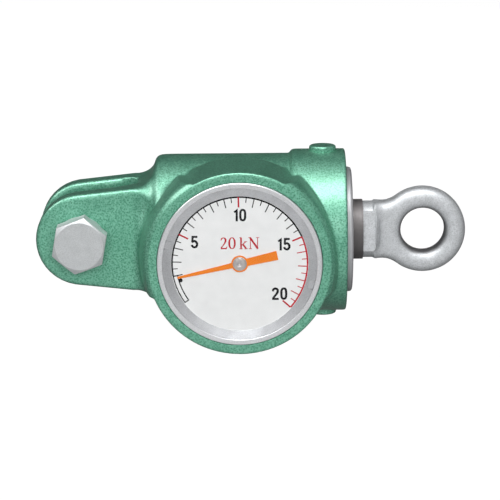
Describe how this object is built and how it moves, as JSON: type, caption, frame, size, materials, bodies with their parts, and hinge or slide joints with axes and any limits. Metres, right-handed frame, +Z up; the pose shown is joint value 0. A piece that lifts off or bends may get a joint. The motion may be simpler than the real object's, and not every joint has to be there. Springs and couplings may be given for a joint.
{
  "type": "tension meter",
  "caption": "In-line hydraulic tension meter: cast clevis housing with a front dial gauge, and a swivelling forged eye on a pull rod that drives the pointer.",
  "frame": {"origin": "where the clevis bolt's axis crosses the load axis, midway between the ears", "axes": "+X along the load axis from the clevis to the eye, -Y the way the dial faces, +Z up"},
  "size_m": [0.2075, 0.0862, 0.0958],
  "materials": {
    "green_paint": "hammertone gloss paint on a casting",
    "polished_steel": "polished",
    "black_rubber": "matte",
    "machined_steel": "machined",
    "dark_steel": "turned and oil blackened",
    "galvanised_steel": "satin zinc on a forging",
    "brass": "machined",
    "copper": "drawn bronze",
    "dial_white": "matte enamel",
    "black_paint": "matte",
    "surround_grey": "satin",
    "pointer_orange": "satin",
    "lens_glass": "clear",
    "bezel_steel": "satin",
    "zinc_steel": "satin zinc"
  },
  "bodies": {
    "housing": {"housing": "green_paint", "collar_plugs": "green_paint", "end_cap": "polished_steel", "cap_seal": "black_rubber", "rod_seal": "black_rubber", "rod_wiper": "black_rubber", "gauge_case": "machined_steel", "gauge_socket": "brass", "socket_seal": "copper", "bourdon_tube": "copper", "back_plate": "brass", "front_plate": "brass", "plate_pillars": "brass", "hairspring": "copper", "dial_plate": "dial_white", "stop_pin": "black_paint", "dial_surround": "surround_grey", "lens_gasket": "black_rubber", "lens": "lens_glass", "bezel": "bezel_steel"},
    "piston": {"piston": "machined_steel", "piston_seal": "black_rubber", "thrust_race_front": "machined_steel", "thrust_balls": "polished_steel"},
    "eye": {"eye": "galvanised_steel", "dust_collar": "dark_steel", "rod_nut": "machined_steel", "thrust_race_rear": "machined_steel"},
    "tube_tip": {"tube_tip": "brass"},
    "sector": {"sector_gear": "brass"},
    "link": {"link": "brass"},
    "pointer": {"pinion_arbor": "brass", "pointer": "pointer_orange", "pointer_cap": "polished_steel"},
    "clevis_bolt": {"clevis_bolt": "zinc_steel", "spring_washer": "zinc_steel"},
    "clevis_nut": {"clevis_nut": "zinc_steel", "nut_washer": "zinc_steel"}
  },
  "joints": [
    {"name": "rod_pull", "type": "slide", "parent": "housing", "child": "piston", "axis": [1, 0, 0], "range_m": [0, 0.001]},
    {"name": "eye_swivel", "type": "hinge", "parent": "piston", "child": "eye", "pos_m": [0.1, 0, 0], "axis": [1, 0, 0], "continuous": true},
    {"name": "tip_lift", "type": "slide", "parent": "housing", "child": "tube_tip", "axis": [0.3631, 0, 0.9318], "range_m": [0, 0.0026], "deforming": ["bourdon_tube"]},
    {"name": "sector_turn", "type": "hinge", "parent": "housing", "child": "sector", "pos_m": [0.08174, -0.034, -0.02301], "axis": [0, -1, 0], "range_deg": [0, 23.42]},
    {"name": "link_turn", "type": "hinge", "parent": "sector", "child": "link", "pos_m": [0.08711, -0.036, -0.02649], "axis": [0, 1, 0], "range_deg": [0, 23.42]},
    {"name": "pointer_turn", "type": "hinge", "parent": "housing", "child": "pointer", "pos_m": [0.0761, -0.04, -0.0075], "axis": [0, 1, 0], "range_deg": [0, 234.2], "deforming": ["hairspring"]},
    {"name": "bolt_withdraw", "type": "slide", "parent": "housing", "child": "clevis_bolt", "axis": [0, -1, 0], "range_m": [0, 0.068]},
    {"name": "nut_off", "type": "slide", "parent": "housing", "child": "clevis_nut", "axis": [0, 1, 0], "range_m": [0, 0.02]}
  ],
  "couplings": [
    {"joint": "pointer_turn", "follows": "rod_pull", "rad_per_m": 4087.5},
    {"joint": "sector_turn", "follows": "rod_pull", "rad_per_m": 408.75},
    {"joint": "link_turn", "follows": "rod_pull", "rad_per_m": 408.75},
    {"joint": "tip_lift", "follows": "rod_pull", "ratio": 2.598},
    {"joint": "nut_off", "follows": "bolt_withdraw", "ratio": 0.2941}
  ]
}
